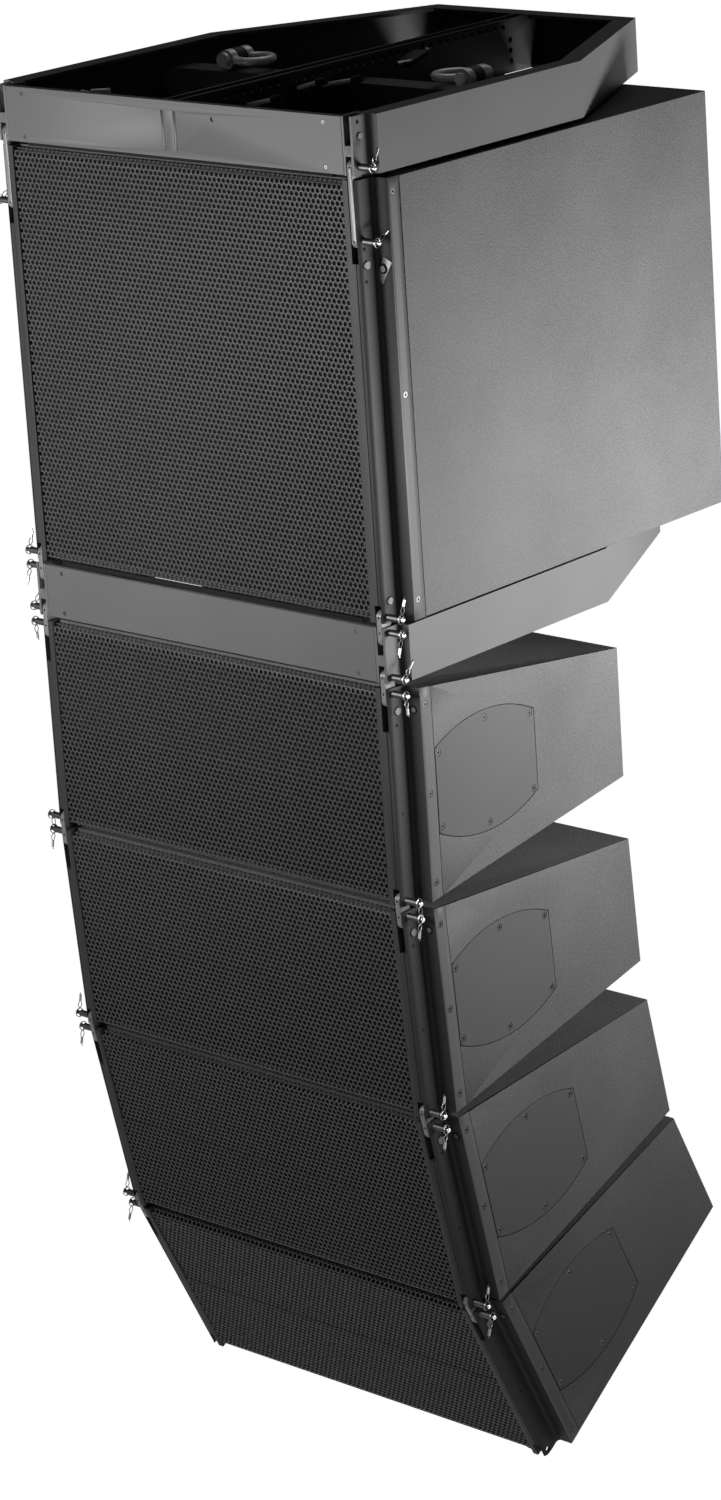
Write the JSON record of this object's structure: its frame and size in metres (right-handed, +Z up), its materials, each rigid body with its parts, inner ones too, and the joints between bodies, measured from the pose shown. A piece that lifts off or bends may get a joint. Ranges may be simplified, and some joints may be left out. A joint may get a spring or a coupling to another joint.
{
  "type": "line array speaker",
  "caption": "Flown line array: hexagonal flying frame, subwoofer cabinet, adapter frame and a curved column of wedge-shaped top cabinets on pinned links.",
  "frame": {"origin": "axis of the hoist hole in the flying frame's centre beam, midway between the two beam plates", "axes": "+Z up, the grilles face -Y, +X to the right seen from the front"},
  "size_m": [0.706, 0.764, 1.9607],
  "materials": {
    "cabinet_paint": "fine textured dark grey paint, satin",
    "frame_paint": "satin grey powder coat",
    "plate_paint": "satin mid grey powder coat",
    "fitting_metal": "satin grey powder coat on pressed steel",
    "grille_paint": "perforated steel, matt dark powder coat",
    "pin_steel": "bright machined steel",
    "shackle_steel": "galvanised forged steel",
    "screw_steel": "blackened steel",
    "driver_parts": "coated paper cones, painted baskets and magnets"
  },
  "bodies": {
    "root": {"flying_frame": "frame_paint", "front_plates": "plate_paint", "frame_beam": "frame_paint", "shackle_pins": "shackle_steel", "rig_links": "fitting_metal", "sub_cabinet": "cabinet_paint", "sub_grilles": "grille_paint", "sub_fittings": "fitting_metal", "sub_drivers": "driver_parts", "sub_connector_panel": "frame_paint", "rig_screws": "screw_steel", "adapter_frame": "frame_paint"},
    "shackle_left": {"shackle_bow_left": "shackle_steel"},
    "shackle_right": {"shackle_bow_right": "shackle_steel"},
    "rig_pins_left": {"rig_pins_left": "pin_steel"},
    "rig_pins_right": {"rig_pins_right": "pin_steel"},
    "top1": {"top1_cabinet": "cabinet_paint", "top1_grille": "grille_paint", "top1_fittings": "fitting_metal", "top1_side_covers": "cabinet_paint", "top1_screws": "screw_steel", "top1_drivers": "driver_parts", "top1_front_links": "fitting_metal"},
    "top1_splay_link": {"top1_splay_link": "fitting_metal"},
    "top1_splay_pin": {"top1_splay_pin": "pin_steel"},
    "top1_pins_left": {"top1_pins_left": "pin_steel"},
    "top1_pins_right": {"top1_pins_right": "pin_steel"},
    "top2": {"top2_cabinet": "cabinet_paint", "top2_grille": "grille_paint", "top2_fittings": "fitting_metal", "top2_side_covers": "cabinet_paint", "top2_screws": "screw_steel", "top2_drivers": "driver_parts", "top2_front_links": "fitting_metal"},
    "top2_splay_link": {"top2_splay_link": "fitting_metal"},
    "top2_splay_pin": {"top2_splay_pin": "pin_steel"},
    "top2_pins_left": {"top2_pins_left": "pin_steel"},
    "top2_pins_right": {"top2_pins_right": "pin_steel"},
    "top3": {"top3_cabinet": "cabinet_paint", "top3_grille": "grille_paint", "top3_fittings": "fitting_metal", "top3_side_covers": "cabinet_paint", "top3_screws": "screw_steel", "top3_drivers": "driver_parts", "top3_front_links": "fitting_metal"},
    "top3_splay_link": {"top3_splay_link": "fitting_metal"},
    "top3_splay_pin": {"top3_splay_pin": "pin_steel"},
    "top3_pins_left": {"top3_pins_left": "pin_steel"},
    "top3_pins_right": {"top3_pins_right": "pin_steel"},
    "top4": {"top4_cabinet": "cabinet_paint", "top4_grille": "grille_paint", "top4_fittings": "fitting_metal", "top4_side_covers": "cabinet_paint", "top4_screws": "screw_steel", "top4_drivers": "driver_parts", "top4_front_links": "fitting_metal"},
    "top4_splay_link": {"top4_splay_link": "fitting_metal"},
    "top4_splay_pin": {"top4_splay_pin": "pin_steel"},
    "top4_pins_left": {"top4_pins_left": "pin_steel"},
    "top4_pins_right": {"top4_pins_right": "pin_steel"}
  },
  "joints": [
    {"name": "shackle_left_swing", "type": "hinge", "parent": "root", "child": "shackle_left", "pos_m": [-0.218, 0.023, -0.006], "axis": [0, -1, 0], "range_deg": [0, 105]},
    {"name": "shackle_right_swing", "type": "hinge", "parent": "root", "child": "shackle_right", "pos_m": [0.218, 0.023, -0.006], "axis": [0, 1, 0], "range_deg": [0, 105]},
    {"name": "rig_pins_left_pull", "type": "slide", "parent": "root", "child": "rig_pins_left", "axis": [-1, 0, 0], "range_m": [0, 0.03]},
    {"name": "rig_pins_right_pull", "type": "slide", "parent": "root", "child": "rig_pins_right", "axis": [1, 0, 0], "range_m": [0, 0.03]},
    {"name": "top1_splay", "type": "hinge", "parent": "root", "child": "top1", "pos_m": [0, -0.3335, -0.7365], "axis": [1, 0, 0], "range_deg": [0, 6]},
    {"name": "top1_splay_link_swing", "type": "hinge", "parent": "top1", "child": "top1_splay_link", "pos_m": [0, 0.0765, -0.8315], "axis": [1, 0, 0], "range_deg": [-0.5, 2]},
    {"name": "top1_splay_pin_pull", "type": "slide", "parent": "root", "child": "top1_splay_pin", "axis": [1, 0, 0], "range_m": [0, 0.03]},
    {"name": "top1_pins_left_pull", "type": "slide", "parent": "top1", "child": "top1_pins_left", "axis": [-1, 0, 0], "range_m": [0, 0.03]},
    {"name": "top1_pins_right_pull", "type": "slide", "parent": "top1", "child": "top1_pins_right", "axis": [1, 0, 0], "range_m": [0, 0.03]},
    {"name": "top2_splay", "type": "hinge", "parent": "top1", "child": "top2", "pos_m": [0, -0.3335, -1.047], "axis": [1, 0, 0], "range_deg": [-4, 10]},
    {"name": "top2_splay_link_swing", "type": "hinge", "parent": "top2", "child": "top2_splay_link", "pos_m": [0, 0.08213, -1.11317], "axis": [1, 0, 0], "range_deg": [-4, 2]},
    {"name": "top2_splay_pin_pull", "type": "slide", "parent": "top1", "child": "top2_splay_pin", "axis": [1, 0, 0], "range_m": [0, 0.03]},
    {"name": "top2_pins_left_pull", "type": "slide", "parent": "top2", "child": "top2_pins_left", "axis": [-1, 0, 0], "range_m": [0, 0.03]},
    {"name": "top2_pins_right_pull", "type": "slide", "parent": "top2", "child": "top2_pins_right", "axis": [1, 0, 0], "range_m": [0, 0.03]},
    {"name": "top3_splay", "type": "hinge", "parent": "top2", "child": "top3", "pos_m": [0, -0.31184, -1.35674], "axis": [1, 0, 0], "range_deg": [-8, 6]},
    {"name": "top3_splay_link_swing", "type": "hinge", "parent": "top3", "child": "top3_splay_link", "pos_m": [0, 0.10895, -1.36442], "axis": [1, 0, 0], "range_deg": [-3, 3.5]},
    {"name": "top3_splay_pin_pull", "type": "slide", "parent": "top2", "child": "top3_splay_pin", "axis": [1, 0, 0], "range_m": [0, 0.03]},
    {"name": "top3_pins_left_pull", "type": "slide", "parent": "top3", "child": "top3_pins_left", "axis": [-1, 0, 0], "range_m": [0, 0.03]},
    {"name": "top3_pins_right_pull", "type": "slide", "parent": "top3", "child": "top3_pins_right", "axis": [1, 0, 0], "range_m": [0, 0.03]},
    {"name": "top4_splay", "type": "hinge", "parent": "top3", "child": "top4", "pos_m": [0, -0.24728, -1.66046], "axis": [1, 0, 0], "range_deg": [-14, 0]},
    {"name": "top4_splay_link_swing", "type": "hinge", "parent": "top4", "child": "top4_splay_link", "pos_m": [0, 0.16287, -1.56611], "axis": [1, 0, 0], "range_deg": [-0.5, 4.5]},
    {"name": "top4_splay_pin_pull", "type": "slide", "parent": "top3", "child": "top4_splay_pin", "axis": [1, 0, 0], "range_m": [0, 0.03]},
    {"name": "top4_pins_left_pull", "type": "slide", "parent": "top4", "child": "top4_pins_left", "axis": [-1, 0, 0], "range_m": [0, 0.03]},
    {"name": "top4_pins_right_pull", "type": "slide", "parent": "top4", "child": "top4_pins_right", "axis": [1, 0, 0], "range_m": [0, 0.03]}
  ],
  "couplings": [
    {"joint": "top1_splay_link_swing", "follows": "top1_splay", "ratio": 0.22},
    {"joint": "top2_splay_link_swing", "follows": "top2_splay", "ratio": -0.35},
    {"joint": "top3_splay_link_swing", "follows": "top3_splay", "ratio": -0.35},
    {"joint": "top4_splay_link_swing", "follows": "top4_splay", "ratio": -0.27}
  ]
}
